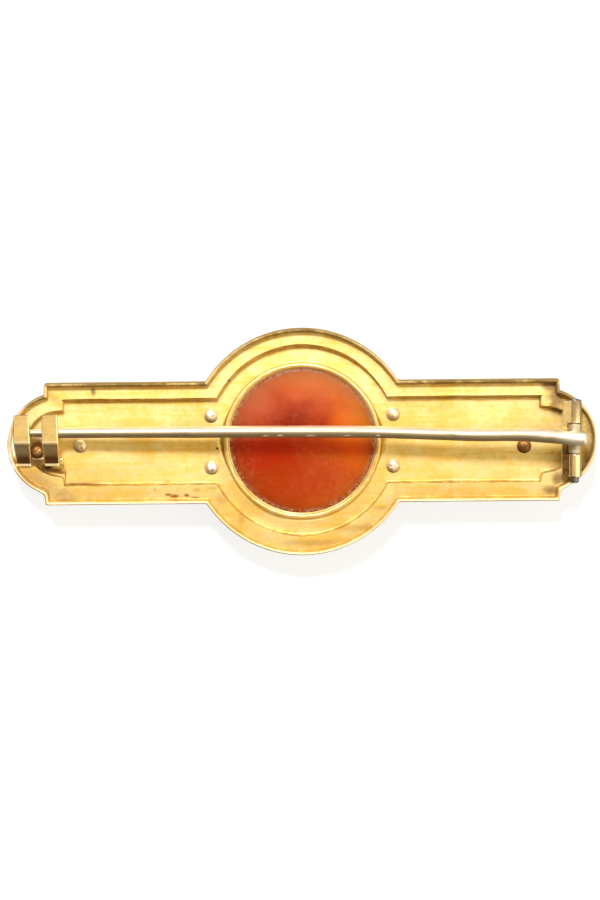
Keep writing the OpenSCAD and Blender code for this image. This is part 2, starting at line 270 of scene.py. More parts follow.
def make_piece(name, shells, body, nodes, material, marks=()):
    """One object of closed skins, smooth shaded, standing for its CAD nodes.

    marks are values that each point carries under a name, for the material to read.
    """
    starts = np.cumsum([0] + [len(points) for points, _ in shells])
    faces = [[i + start for i in face] for start, (_, faces) in zip(starts, shells) for face in faces]
    mesh = bpy.data.meshes.new(name)
    mesh.from_pydata(np.vstack([points for points, _ in shells]), [], faces)
    mesh.polygons.foreach_set("use_smooth", np.ones(len(faces), bool))
    for label, values in dict(marks).items():
        carried = mesh.attributes.new(label, "FLOAT", "POINT")
        carried.data.foreach_set("value", np.ravel(values).astype(np.float32))
    mesh.validate()
    mesh.materials.append(material)
    piece = bpy.data.objects.new(name, mesh)
    bpy.context.collection.objects.link(piece)
    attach(piece, body)
    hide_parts(*nodes)


def noise(where, scale, detail=3.0, roughness=0.5, stretch=(1, 1, 1), shift=(0, 0, 0)):
    """Value of a smooth noise with this many waves a metre, stretched along each axis."""
    moved = add(where, "ShaderNodeMapping", {"Vector": where, "Scale": stretch, "Location": shift})
    made = add(where, "ShaderNodeTexNoise", {"Vector": moved.outputs[0], "Scale": scale, "Detail": detail,
                                             "Roughness": roughness})
    return made.outputs["Fac"]


def sums(operation, first, second):
    """Two values put together by one sum: added, multiplied, or the greater of the two."""
    return add(first, "ShaderNodeMath", {0: first, 1: second}, operation=operation).outputs[0]


def mark(beside, name):
    """The value that a piece's points carry under this name."""
    return add(beside, "ShaderNodeAttribute", attribute_name=name).outputs["Fac"]


def from_oval(where, x, y, half_w, half_h):
    """Distance from an oval's middle, counted in its half width and half height. All four are in mm."""
    middle, shares = (x * mm, y * mm, 0), (1 / (half_w * mm), 1 / (half_h * mm), 0)
    off = add(where, "ShaderNodeVectorMath", {0: where, 1: middle}, operation="SUBTRACT").outputs[0]
    off = add(where, "ShaderNodeVectorMath", {0: off, 1: shares}, operation="MULTIPLY").outputs[0]
    return add(where, "ShaderNodeVectorMath", {0: off}, operation="LENGTH").outputs["Value"]


def spots(where, ovals):
    """1 inside each oval patch of a list of (x, y, half width, half height) in mm, 0 outside.

    A fine noise is added to the distance, which leaves the patches' edges ragged.
    """
    ragged = sums("MULTIPLY", noise(where, 1500, 5, 0.7, stretch=(0.5, 1, 1)), 1.6)
    total = None
    for oval in ovals:
        one = spread(sums("ADD", from_oval(where, *oval), ragged), 1.1, 2.1, 1, 0)
        total = one if total is None else sums("MAXIMUM", total, one)
    return total


def new_finish(name):
    """A new material, its shader and the place on the object that it is worked out for."""
    material = bpy.data.materials.new(name)
    material.use_nodes = True
    where = add(material.node_tree, "ShaderNodeTexCoord").outputs["Object"]
    return material, material.node_tree.nodes["Principled BSDF"], where


# Pale gold that marks blend to, for wear and for painted highlights, and brown for a dull film, tarnish and
# painted shade
rubbed_and_lit_gold = (1.0, 0.93, 0.74)
brown_film_and_shade = (0.12, 0.06, 0.014)
scratch_height = 0.12
pit_depth = 0.015 * mm


def metal(name, bright, deep, rough, shade_and_film_colour=brown_film_and_shade, film=0.35, patches=0.35, brush=0.35, grain=0.5,
          stains_and_painted_light=(), shade_and_grime_mark=None, wear_and_highlight_mark=None):
    """Metal: two tones in soft clouds, brush marks along the bar, and dull brown in creases and patches.

    grimy names the points' value that carries painted shade and brown tarnish; where it lies, the surface is
    brown, rough and hardly metallic. film is how much of a thin dull film lies over all of it, and patches
    how much of the grimy value the cleanest patch keeps. Each entry of stains is (colour, strength, ovals),
    for real blots as well as painted shadows and painted highlights. worn names the points' value where the
    colour turns paler, as wear and as a painted highlight. brush and grain are the shares of brush marks and
    of fine pits in the bumps.
    """
    material, shader, where = new_finish(name)
    clouds = spread(noise(where, 230, 5, 0.62), 0.36, 0.64)
    mottle = noise(where, 1300, 5, 0.65)
    streaks = noise(where, 2400, 3, 0.55, stretch=(0.07, 1, 1))
    scratches = noise(where, 5200, 2, 0.5, stretch=(0.5, 0.05, 1), shift=(3, 1, 0))
    tone = sums("ADD", sums("MULTIPLY", clouds, 0.6), spread(mottle, 0.42, 0.68, 0, 0.5))
    tone = sums("ADD", tone, spread(streaks, 0.45, 0.7, 0, 0.45))
    colour = blend(tone, bright, deep)
    if wear_and_highlight_mark:
        colour = blend(mark(where, wear_and_highlight_mark), colour, rubbed_and_lit_gold)
    dull = spread(noise(where, 750, 6, 0.72), 0.55, 0.85, 0, film)
    if shade_and_grime_mark:
        patchy = spread(noise(where, 900, 4, 0.65), 0.25, 0.6, patches, 1)
        dull = sums("MAXIMUM", dull, sums("MULTIPLY", mark(where, shade_and_grime_mark), patchy))
    colour = blend(dull, colour, shade_and_film_colour)
    for patch_colour, strength, ovals in stains_and_painted_light:
        patch_share = sums("MULTIPLY", spots(where, ovals), strength)
        colour = blend(patch_share, colour, patch_colour)
        dull = sums("MAXIMUM", dull, sums("MULTIPLY", patch_share, 0.8))
    fine = sums("ADD", sums("MULTIPLY", streaks, 0.5), sums("MULTIPLY", mottle, 0.5))
    rough_now = sums("ADD", spread(fine, 0.35, 0.65, *rough), sums("MULTIPLY", dull, 0.2))
    height = sums("MULTIPLY", streaks, brush)
    height = sums("ADD", height, sums("MULTIPLY", scratches, scratch_height))
    height = sums("ADD", height, sums("MULTIPLY", mottle, grain))
    bump = add(where, "ShaderNodeBump", {"Height": height, "Strength": 0.4, "Distance": pit_depth})
    feed(shader, {"Base Color": colour, "Metallic": spread(dull, 0.3, 1.0, 1.0, 0.25),
                  "Specular IOR Level": 0.08, "Roughness": rough_now, "Normal": bump.outputs[0]})
    return material


# Columns: inset from the edge, height, how far the corner is rounded. In order: foot and head of the step,
# foot of the rim, round the rim, back under the border, down the step's front and in under the panel
tray_section = np.array([
    [1.93, 3.00, 0.10], [1.83, 3.90, 0.04], [0.42, 3.90, 0.06], [0.3, 4.52, 0.08], [0.14, 4.66, 0.04],
    [0.0, 4.58, 0.05], [0.0, 2.85, 0.06], [0.4, 2.85, 0.06], [0.4, 3.45, 0.06], [1.45, 3.45, 0.06],
    [1.45, 2.55, 0.10]]) * mm
back_start = np.array([[2.5, 3.0]]) * mm
front_end = np.array([[2.1, 2.55]]) * mm
step_foot, step_head, rim_foot = tray_section[:3, :2]
high_on_step = 3.6 * mm
high_on_rim = 4.3 * mm
tray_line = rounded(np.vstack([back_start, tray_section[:, :2], front_end]),
                    np.concatenate([[0], tray_section[:, 2], [0]]), closed=False)
# Rows of the whole skin: inset, height, share of the way out from the setting's hole
way_out = even[:, None]
back_panel = np.hstack([np.tile(back_start, (stretch_steps, 1)), way_out])
front_panel = np.hstack([np.tile(front_end, (stretch_steps, 1)), way_out])[::-2]
rows = np.vstack([back_panel, np.hstack([tray_line, np.ones((len(tray_line), 1))]), front_panel])
row_inset, row_z, row_way = rows[:, :1], rows[:, 1:2], rows[:, 2:]
on_back = row_z > panel_z - 0.01 * mm
on_edge = row_way > 0.99

# What each place round the step is: on the upper or the lower side, to the left, on a rounded end
step_x, step_y = whole_outline(np.full((1, 1), border_w))
along_x = np.roll(step_x, -1) - np.roll(step_x, 1)
along_y = np.roll(step_y, -1) - np.roll(step_y, 1)
faces_up = along_x**2 / (along_x**2 + along_y**2)
upper_side = np.clip(step_y / (2 * mm), 0, 1) * faces_up
lower_side = np.clip(-step_y / (2 * mm), 0, 1) * faces_up
leftward = np.clip(0.5 - step_x / (34 * mm), 0, 1)
on_end = np.clip((np.abs(step_x) - 24.2 * mm) / (0.3 * mm), 0, 1) * (np.abs(step_y) < 4.1 * mm)
right_end = np.clip((step_x - 25.3 * mm) / (0.7 * mm), 0, 1)
lower_left = lower_side * np.clip((-18.5 * mm - step_x) / (4 * mm), 0, 1)
on_bar = np.clip((26.6 * mm - np.abs(step_x)) / (0.4 * mm), 0, 1)

# The step's foot and head waver, and on the upper side the foot lies further in and the head further out
waver = np.sin(step_x / (1.9 * mm)) + np.sin(step_x / (0.83 * mm) + 2) + np.sin(step_y / (1.3 * mm))
foot_weight = np.exp(-(((row_z - panel_z) / (0.35 * mm)) ** 2)) * (row_inset > 1.5 * mm) * on_back * on_edge
foot_weight = foot_weight * np.clip((2.4 * mm - row_inset) / (0.3 * mm), 0, 1)
head_weight = np.exp(-(((row_inset - step_head[0]) / (0.18 * mm)) ** 2)) * (row_z > high_on_step)
inset = (row_inset + foot_weight * (upper_side * (0.02 + 0.1 * leftward) * mm + 0.02 * mm * waver)
         - head_weight * (0.2 * mm * upper_side * (1 - 0.8 * on_end) + 0.012 * mm * waver))

# The panel runs from the hole, round which the outline's stretches share the turn, out to the step
edge_x, edge_y = whole_outline(inset)
hole_turn = np.interp(edge_share, [0, 1, 2, 3, 4], np.radians([90, 24, 4.5, 3, 0]))
hole_x = edge_right * setting_hole_r * np.cos(hole_turn)
hole_y = edge_up * setting_hole_r * np.sin(hole_turn)
late = 1 + 2 * np.clip(edge_share - 1, 0, 1)
tray_x = hole_x + (edge_x - hole_x) * row_way
tray_y = hole_y + (edge_y - hole_y) * row_way**late
hammered = 0.02 * mm * (np.sin(tray_x / (1.35 * mm) + 1.5 * np.sin(tray_y / (2.1 * mm)))
                        + np.sin(tray_x / (3.1 * mm) - tray_y / (1.7 * mm) + 2))
on_border = (row_z > high_on_step) * (row_z < high_on_rim)
flange_droop = 0.06 * mm * np.clip((border_w - inset) / (1.5 * mm), 0, 1) * on_border
from_hole = np.hypot(tray_x, tray_y) - setting_hole_r
ring_rise = 0.09 * mm * np.clip(1 - from_hole / (1.3 * mm), 0, 1)
tray_z = row_z + hammered * np.clip(row_way * 4, 0, 1) + (ring_rise - flange_droop) * on_back
tray_points = np.stack([tray_x, tray_y, tray_z], axis=-1)

# Darkening at the foot of the step and of the rim is painted crease shade and dirt; the darker step wall,
# rim wall, outer side and upper rim lip are painted shade, and on the lower side the step's lit edge is
# painted duller.
# The rim's top is paler everywhere but on the upper side, as wear and as a painted highlight on its lit
# sides.
foot_gap = np.hypot(row_inset - step_foot[0], row_z - step_foot[1])
rim_gap = np.hypot(row_inset - rim_foot[0], row_z - rim_foot[1])
crease_w = (0.08 + 0.2 * right_end + 0.05 * lower_left) * mm
crease_shade_and_dirt = 0.75 + 0.25 * np.maximum(right_end, lower_left)
crease_shade_and_dirt = crease_shade_and_dirt - 0.35 * lower_side * (1 - lower_left) * (row_inset > 1 * mm)
crease_shade_and_dirt = crease_shade_and_dirt - 0.3 * upper_side * (row_inset < 1 * mm)
crease_shade_and_dirt = crease_shade_and_dirt * np.exp(-np.minimum(foot_gap, rim_gap) / crease_w) * on_edge
step_wall = np.exp(-(((row_inset - 1.86 * mm) / (0.12 * mm)) ** 2)) * (row_z < 3.88 * mm) * on_back
step_wall_shade = 0.35 + 0.3 * upper_side * (1 - on_end) + 0.5 * lower_side
step_lip = np.exp(-((np.hypot(row_inset - 1.84 * mm, row_z - border_z) / (0.035 * mm)) ** 2)) * on_back
rim_wall = (row_inset < 0.44 * mm) * (row_inset > 0.3 * mm) * (row_z > border_z)
rim_wall_shade = 0.25 + 0.1 * on_bar + 0.15 * upper_side + 0.15 * lower_side + 0.45 * right_end
rim_lip = (row_inset < 0.31 * mm) * (row_z > high_on_rim)
outer_side = (row_inset < 0.08 * mm) * (row_z > rim_low_z + 0.1 * mm)
tray_shade_and_grime = np.maximum.reduce([
    crease_shade_and_dirt, step_wall_shade * step_wall, 0.8 * lower_side * step_lip, rim_wall_shade * rim_wall,
    upper_side * (0.15 + 0.75 * on_bar) * rim_lip, (0.15 + 0.5 * upper_side) * outer_side])
# Paler rim top away from the upper side: wear, and a painted highlight where light falls
tray_wear_and_highlight = 0.35 * (1 - upper_side) * (row_inset < 0.29 * mm) * (row_z > high_on_rim)

# Columns: colour, strength, ovals as place across and up, half width and half height in mm. In order: dark
# pits with a painted shadow in the recess below the catch, brown blots on the lower left border, painted
# shadow under and between the hooks with dark lines along the step at the lower left, a painted highlight on
# the rim at both tips, tarnish in the corners by the hinge, soft dull patches
tray_stains_and_painted_light = [
    ((0.06, 0.03, 0.01), 1.0, [(-8.7, -0.7, 0.14, 0.14), (-7.4, 6.3, 0.14, 0.12), (-26.1, -2.5, 0.75, 0.5)]),
    ((0.26, 0.085, 0.014), 1.0, [(-13.7, -5.31, 0.42, 0.15), (-13.1, -5.46, 0.5, 0.19),
                                 (-11.85, -5.42, 0.3, 0.2), (-11.1, -5.62, 0.8, 0.09)]),
    ((0.2, 0.085, 0.018), 0.9, [(-27.05, -0.3, 0.9, 1.7), (-25.2, -2.82, 0.7, 0.26),
                                (-24.75, -3.05, 0.6, 0.2), (-22.6, -4.25, 2.4, 0.11),
                                (-24.27, -3.4, 0.08, 1.1)]),
    ((1.0, 0.93, 0.72), 0.8, [(-29.6, 0.0, 0.35, 2.6), (-29.45, -2.4, 0.25, 1.0), (29.97, 0.2, 0.13, 3.0)]),
    ((0.26, 0.155, 0.06), 0.85, [(26.0, 4.3, 0.9, 1.9), (25.4, 5.5, 1.1, 0.7), (26.1, -4.0, 0.6, 0.7),
                                 (25.3, -5.2, 0.9, 0.5), (-21.2, 5.3, 0.3, 0.5)]),
    ((0.42, 0.25, 0.07), 0.45, [
        (-13.8, -4.1, 0.25, 0.22), (-15.1, -4.8, 0.25, 0.25), (-10.8, -4.85, 0.35, 0.2),
        (-8.2, -5.7, 0.8, 0.7), (-8.9, -4.65, 0.8, 0.25), (-20.3, -4.3, 0.9, 0.12), (-18.0, -4.3, 0.7, 0.1),
        (5.5, -8.9, 2.6, 0.4), (7.8, -6.9, 1.0, 0.3), (-6.3, -7.6, 0.4, 0.9), (1.0, -10.4, 3.5, 0.35),
        (-8.0, -9.3, 1.2, 0.6), (-27.4, -3.4, 1.8, 1.3), (-25.0, -5.0, 1.2, 0.8)])]
tray_gold = metal("tray_gold", bright=(1.0, 0.81, 0.35), deep=(0.93, 0.61, 0.13), rough=(0.48, 0.6),
                  patches=0.5, stains_and_painted_light=tray_stains_and_painted_light, shade_and_grime_mark="shade_and_grime", wear_and_highlight_mark="wear_and_highlight")
make_piece("tray", [shell(tray_points, joined=True)], "brooch", ["frame"], tray_gold,
           {"shade_and_grime": tray_shade_and_grime, "wear_and_highlight": tray_wear_and_highlight})

# Setting: one turned piece of gold through the tray's hole. At the back a low round-topped collar with a
# fine ledge holds the stone; at the front a bezel stands up round it and carries the brooch when it lies.
collar_in = 7.58 * mm
collar_out = 8.03 * mm
ledge_z = 3.22 * mm
setting_around = 200
# Columns: radius, height, how far the corner is rounded
setting_section = np.array([
    [7.73, 0, 0.04], [8.33, 0, 0.1], [8.33, 2.02, 0.05], [8.73, 2.02, 0.08], [8.73, 2.52, 0.05],
    [8.03, 2.52, 0.03], [8.03, 3.5, 0.21], [7.58, 3.5, 0.16], [7.58, 3.22, 0.02], [7.43, 3.13, 0.03],
    [7.43, 3.03, 0.02], [7.58, 3.03, 0.03], [7.58, 0.87, 0.03], [7.2, 0.87, 0.03], [7.2, 0.72, 0.04]]) * mm


def turned(section, around, centre_x=0.0, centre_y=0.0):
    """Rings of a turned piece: each point (radius, height) of the section goes round the upright axis."""
    turn = np.linspace(0, 2 * np.pi, around, endpoint=False)
    radius, height = section[:, :1], section[:, 1:]
    return np.stack([centre_x + radius * np.cos(turn), centre_y + radius * np.sin(turn),
                     height + 0 * turn], axis=-1)


setting_line = rounded(setting_section[:, :2], setting_section[:, 2])
line_r, line_z = setting_line[:, 0], setting_line[:, 1]
setting_points = turned(setting_line, setting_around)
setting_turn = np.linspace(0, 2 * np.pi, setting_around, endpoint=False)
lip_wave = 0.012 * mm * (np.sin(5 * setting_turn + 1) + np.sin(9 * setting_turn))
setting_points[..., 2] += lip_wave * (line_z > 3.2 * mm)[:, None]
# Painted crease shade and dirt at the collar's foot and at the ledge
collar_foot = np.exp(-np.hypot(line_r - collar_out, line_z - panel_z) / (0.12 * mm))
ledge_foot = np.exp(-np.hypot(line_r - collar_in, line_z - ledge_z) / (0.05 * mm))
setting_gold = metal("setting_gold", bright=(1.0, 0.82, 0.4), deep=(0.93, 0.62, 0.16), rough=(0.5, 0.62),
                     shade_and_grime_mark="shade_and_dirt")
make_piece("setting", [shell(setting_points, joined=True)], "brooch", ["bezel"], setting_gold,
           {"shade_and_dirt": np.maximum(collar_foot, ledge_foot)[:, None] * np.ones(setting_around)})

# Cameo: a round carnelian, its back ground almost flat and polished, its hidden front carved in low relief
# through a paler upper layer. It sits in the setting between the ledge and the front lip.
stone_r = 7.55 * mm
stone_front_z = 0.9 * mm
stone_dome = 0.06 * mm
back_r = np.linspace(0.02, 7.38, 14) * mm
back_disc = np.stack([back_r, panel_z + stone_dome * (1 - (back_r / stone_r) ** 2)], axis=1)
stone_side = rounded(np.array([[7.3, 3.0], [7.42, 2.99], [7.55, 2.86], [7.55, 0.9], [7.3, 0.9]]) * mm,
                     np.array([0, 0.02, 0.03, 0.05, 0]) * mm, closed=False)[1:-1]
front_r = np.linspace(7.4, 0.02, 150) * mm
front_disc = np.stack([front_r, np.full_like(front_r, stone_front_z)], axis=1)
stone_points = turned(np.vstack([back_disc, stone_side, front_disc]), 360)

relief_r = 6.3 * mm
relief_top = 0.69 * mm
upper_layer_depth = 0.26 * mm
# Edge of the carved bust in shares of relief_r, from the crown down the face and round the breast, and edge
# of its hair down the hairline. Both end with knot_edge, from the nape round the knot up to the crown.
knot_edge = [
    [0.36, -0.2], [0.47, -0.18], [0.55, -0.13], [0.61, -0.07], [0.64, 0], [0.64, 0.07], [0.62, 0.13],
    [0.57, 0.175], [0.5, 0.2], [0.445, 0.24], [0.42, 0.3], [0.4, 0.38], [0.36, 0.45], [0.29, 0.53],
    [0.2, 0.58], [0.11, 0.62]]
bust_edge = [
    [0.02, 0.63], [-0.08, 0.62], [-0.18, 0.575], [-0.27, 0.5], [-0.322, 0.42], [-0.348, 0.34],
    [-0.36, 0.27], [-0.358, 0.21], [-0.352, 0.18], [-0.337, 0.145], [-0.352, 0.11], [-0.385, 0.06],
    [-0.42, 0.01], [-0.447, -0.025], [-0.443, -0.048], [-0.4, -0.06], [-0.374, -0.066], [-0.373, -0.09],
    [-0.392, -0.112], [-0.397, -0.126], [-0.383, -0.137], [-0.369, -0.142], [-0.383, -0.153],
    [-0.387, -0.171], [-0.369, -0.188], [-0.356, -0.2], [-0.364, -0.225], [-0.37, -0.255],
    [-0.355, -0.285], [-0.32, -0.305], [-0.25, -0.312], [-0.19, -0.318], [-0.14, -0.35], [-0.115, -0.42],
    [-0.108, -0.5], [-0.13, -0.58], [-0.2, -0.65], [-0.3, -0.7], [-0.375, -0.755], [-0.36, -0.795],
    [-0.28, -0.84], [-0.15, -0.9], [0, -0.93], [0.14, -0.925], [0.25, -0.9], [0.38, -0.84], [0.47, -0.76],
    [0.46, -0.7], [0.4, -0.64], [0.31, -0.585], [0.245, -0.53], [0.215, -0.46], [0.205, -0.38],
    [0.215, -0.3], [0.25, -0.24], *knot_edge]
hair_edge = [
    [0.02, 0.63], [-0.12, 0.61], [-0.25, 0.515], [-0.31, 0.43], [-0.3, 0.36], [-0.22, 0.3], [-0.16, 0.22],
    [-0.14, 0.14], [-0.09, 0.06], [-0.04, -0.01], [0.05, -0.06], [0.13, -0.13], [0.2, -0.22], [0.28, -0.22],
    *knot_edge]
# Columns: place across and up, half width and half height in shares of relief_r, then height in mm. In
# order: skull, cheek, eye hollow, eye, upper and lower lid, brow, nose wing, nostril, lips with the line
# between them, corner of the mouth, chin, temple, ear lobe, neck muscle, collar bone
swells = np.array([
    [0.0, 0.14, 0.34, 0.4, 0.1], [-0.17, -0.04, 0.14, 0.14, 0.09], [-0.285, 0.12, 0.085, 0.062, -0.13],
    [-0.28, 0.105, 0.04, 0.026, 0.11], [-0.275, 0.142, 0.055, 0.012, 0.07],
    [-0.28, 0.076, 0.042, 0.011, 0.035], [-0.28, 0.2, 0.085, 0.022, 0.06],
    [-0.36, -0.03, 0.03, 0.028, 0.09], [-0.386, -0.052, 0.016, 0.011, -0.07],
    [-0.36, -0.117, 0.038, 0.014, 0.06], [-0.35, -0.142, 0.05, 0.01, -0.1],
    [-0.354, -0.168, 0.034, 0.016, 0.06], [-0.296, -0.14, 0.022, 0.024, -0.06],
    [-0.32, -0.25, 0.055, 0.045, 0.07], [-0.2, 0.22, 0.06, 0.08, -0.04],
    [-0.03, -0.06, 0.026, 0.036, 0.09], [0.04, -0.42, 0.05, 0.16, 0.06], [-0.14, -0.67, 0.14, 0.025, 0.06]])


def depth_inside(x, y, edge):
    """How deep each point lies inside a closed edge, 0 outside it.

    The depth is the least distance to any straight stretch of the edge. A point is inside when a line from
    it to the right crosses the edge an odd number of times.
    """
    a = np.array(edge) * relief_r
    b = np.roll(a, -1, axis=0)
    px, py = x[..., None] - a[:, 0], y[..., None] - a[:, 1]
    run = b - a
    t = np.clip((px * run[:, 0] + py * run[:, 1]) / np.sum(run**2, axis=1), 0, 1)
    least = np.hypot(px - t * run[:, 0], py - t * run[:, 1]).min(axis=-1)
    spans = (py < 0) != (y[..., None] < b[:, 1])
    level = np.where(run[:, 1] == 0, 1, run[:, 1])
    crossed = spans & (px < run[:, 0] * py / level)
    return least * (crossed.sum(axis=-1) % 2)


def carved_height(x, y):
    """Height of the carving: a rounded bust, the neck cut back under the jaw, hair, swells and dips.

    The edge of each mass rises as sin(d), d up to a quarter turn. Each swell is a bell, exp(-u^2 - v^2).
    The locks of hair are waves across circles about the nape, and inside the knot about its own middle.
    """
    u, v = x / relief_r, y / relief_r

    def rise(edge, width):
        return np.sin(np.pi / 2 * np.clip(depth_inside(x, y, edge) / width, 0, 1))

    bust, hair = rise(bust_edge, 0.6 * mm), rise(hair_edge, 0.3 * mm)
    jaw_v = -0.305 + 0.27 * np.clip((u + 0.27) / 0.34, 0, 1) ** 1.7
    cut_back = np.clip((jaw_v - v) / 0.05, 0, 1) * (1 - hair)
    cut_back = cut_back**2 * (3 - 2 * cut_back)
    height = (0.34 - 0.12 * cut_back) * mm * bust
    for at_u, at_v, half_u, half_v, swell in swells:
        bell = np.exp(-(((u - at_u) / half_u) ** 2) - ((v - at_v) / half_v) ** 2)
        height = height + bust * swell * mm * bell
    nape_u, nape_v = u - 0.12, v + 0.3
    locks = np.sin(np.hypot(nape_u, nape_v) * 105 + 1.1 * np.sin(7 * np.arctan2(nape_v, nape_u)))
    knot_u, knot_v, knot_r = u - 0.5, v - 0.01, 0.17
    knot = np.clip((knot_r - np.hypot(knot_u, knot_v)) / 0.02, 0, 1)
    coils = np.sin(np.hypot(knot_u, knot_v) * 120 + 2 * np.arctan2(knot_v, knot_u))
    knot_swell = np.sqrt(np.clip(1 - (knot_u**2 + knot_v**2) / knot_r**2, 0, 1))
    waves = (1 - knot) * locks + knot * coils
    height = height + hair * mm * (0.15 + 0.045 * waves + 0.05 * knot * knot_swell)
    folds = np.sin(90 * (v + 0.5 * (u - 0.05) ** 2) + 2 * np.sin(9 * u))
    dress = np.clip((-0.7 - 0.35 * (u - 0.05) ** 2 - v) / 0.02, 0, 1)
    height = height + bust * dress * mm * (0.06 + 0.05 * folds)
    return np.minimum(height, relief_top)


on_front = slice(-len(front_r), None)
carved = np.zeros(stone_points.shape[:2])
carved[on_front] = carved_height(stone_points[on_front, :, 0], stone_points[on_front, :, 1])
stone_points[..., 2] -= carved

# Columns: place across and up, half width and half height in mm, strength, colour of a cloud in the stone.
# The second, darker red cloud lies along the pin's shadow and is a painted shadow
stone_clouds = [
    (-0.5, 2.9, 3.8, 3.2, 1.0, (0.2, 0.005, 0.0006)), (-3.4, -1.3, 4.5, 2.0, 0.8, (0.45, 0.014, 0.0004)),
    (5.6, 2.2, 2.4, 3.6, 0.85, (1.0, 0.16, 0.007)), (-5.0, 4.2, 2.6, 3.2, 0.6, (0.58, 0.11, 0.045)),
    (3.0, 6.8, 6.0, 2.7, 0.9, (1.0, 0.195, 0.035)), (1.2, -4.0, 3.0, 2.6, 0.45, (0.34, 0.03, 0.006)),
    (6.2, -1.4, 2.4, 2.2, 0.8, (0.9, 0.095, 0.001))]
left_red, right_red = (0.37, 0.034, 0.0014), (0.54, 0.075, 0.003)
band_red = (0.47, 0.055, 0.005)
haze_colour = (0.68, 0.135, 0.045)
scuff_colour = (0.66, 0.17, 0.07)
fleck_colour = (0.7, 0.38, 0.2)
milk_white, milk_cream = (0.85, 0.72, 0.6), (0.78, 0.6, 0.46)


def carnelian():
    """Polished orange-red stone: deeper red on one side, clearer orange on the other, faint bands and haze.

    Fine scuffs and, round the edge, pale flecks lie over it. The carved layer, where the points'
    upper_layer is 1, is a milky white that lets the red through where it is thin.
    """
    material, shader, where = new_finish("carnelian")
    place = add(where, "ShaderNodeSeparateXYZ", {0: where})
    wander = noise(where, 190, 3, 0.5)
    along = sums("ADD", place.outputs[0], sums("MULTIPLY", wander, 7 * mm))
    warm = spread(along, -1 * mm, 9.5 * mm)
    colour = blend(warm, left_red, right_red)
    band = spread(noise(where, 420, 4, 0.6, stretch=(0.25, 1, 1)), 0.45, 0.7, 0, 0.5)
    colour = blend(band, colour, band_red)
    drift = sums("MULTIPLY", noise(where, 420, 4, 0.6, shift=(0.4, 0.1, 0)), 1.3)
    for *oval, strength, cloud_colour in stone_clouds:
        cloudy = sums("ADD", from_oval(where, *oval), drift)
        colour = blend(spread(cloudy, 0.75, 2.0, strength, 0), colour, cloud_colour)
    up = sums("ADD", place.outputs[1], sums("MULTIPLY", wander, 5 * mm))
    haze = sums("MULTIPLY", spread(up, 2.5 * mm, 9.5 * mm),
                spread(noise(where, 700, 5, 0.65), 0.2, 0.8, 0.35, 0.75))
    colour = blend(haze, colour, haze_colour)
    scuffed = sums("MULTIPLY", spread(noise(where, 2200, 5, 0.75), 0.4, 0.65, 0, 0.22),
                   spread(noise(where, 260, 2, 0.5, shift=(1, 2, 0)), 0.35, 0.6))
    colour = blend(scuffed, colour, scuff_colour)
    flecks = spread(noise(where, 2600, 4, 0.75), 0.42, 0.62, 0, 0.75)
    near_edge = spread(from_oval(where, 0, 0, 1, 1), 6.85, 7.45)
    colour = blend(sums("MULTIPLY", flecks, near_edge), colour, fleck_colour)
    milky = blend(spread(noise(where, 600, 4, 0.6), 0.3, 0.7), milk_white, milk_cream)
    upper_layer = mark(where, "upper_layer")
    colour = blend(upper_layer, colour, milky)
    bump = add(where, "ShaderNodeBump", {"Height": noise(where, 3000, 4, 0.6), "Strength": 0.15,
                                         "Distance": 0.004 * mm})
    feed(shader, {"Base Color": colour, "Roughness": 0.24, "Specular IOR Level": 0.1, "IOR": 1.54,
                  "Subsurface Weight": spread(upper_layer, 0, 0.6, 1.0, 0.2),
                  "Subsurface Radius": (1.0, 0.55, 0.35), "Subsurface Scale": 12 * mm,
                  "Normal": bump.outputs[0]})
    return material


make_piece("cameo_stone", [shell(stone_points)], "brooch", ["cameo"], carnelian(),
           {"upper_layer": 0.97 * np.clip(carved / upper_layer_depth, 0, 1) ** 0.7})

# Rivets: seven short posts of paler gold through the panel, each with a small ball of a head standing in
# a flattened burr at the back and a plain round stud at the front.
rivet_places = np.array([[-9.305, 2.668], [-9.305, -2.668], [9.305, 2.668], [9.305, -2.668],
                         [-22.7, -0.3], [22.7, -0.75], [-27.1, -0.85]]) * mm
# Rivets from this index on lie in shadow and are painted dark
shaded_from = 5
rivet_around = 40
# Radius and height of each part of the section, in mm
head_r = 0.6
quarter = np.linspace(0.04, np.pi / 2, 8)
rivet_head = np.stack([head_r * np.sin(quarter), 3.1 + 0.36 * np.cos(quarter) ** 0.7], axis=1)
rivet_burr = rounded([[0.6, 3.1], [0.62, 3.06], [0.67, 3.08], [0.74, 3.05], [0.74, 3.0], [0.28, 3.0],
                      [0.28, 2.52], [0.68, 2.52], [0.7, 2.4]],
                     [0, 0.02, 0.04, 0.04, 0.03, 0.02, 0.02, 0.03, 0], closed=False, steps=3)[1:-1]
rivet_stud = np.stack([0.69 * np.sin(quarter[::-1]), 2.48 - 0.42 * np.cos(quarter[::-1])], axis=1)
rivet_section = np.vstack([rivet_head, rivet_burr, rivet_stud]) * mm
rivet_gold = metal("rivet_gold", bright=(1.0, 0.9, 0.66), deep=(0.92, 0.72, 0.42), rough=(0.4, 0.55),
                   shade_and_grime_mark="shade_and_dirt")
# A dark brown copy of the rivet gold: painted shade for rivets in shadow
shaded_rivet_gold = metal("shaded_rivet_gold", bright=(0.5, 0.27, 0.09), deep=(0.3, 0.15, 0.045), rough=(0.55, 0.65),
                  shade_and_grime_mark="shade_and_dirt")
head_turn = np.linspace(0, 2 * np.pi, rivet_around, endpoint=False)
groove_gap = np.hypot(rivet_section[:, 0] - 0.61 * mm, rivet_section[:, 1] - 3.07 * mm)[:, None]
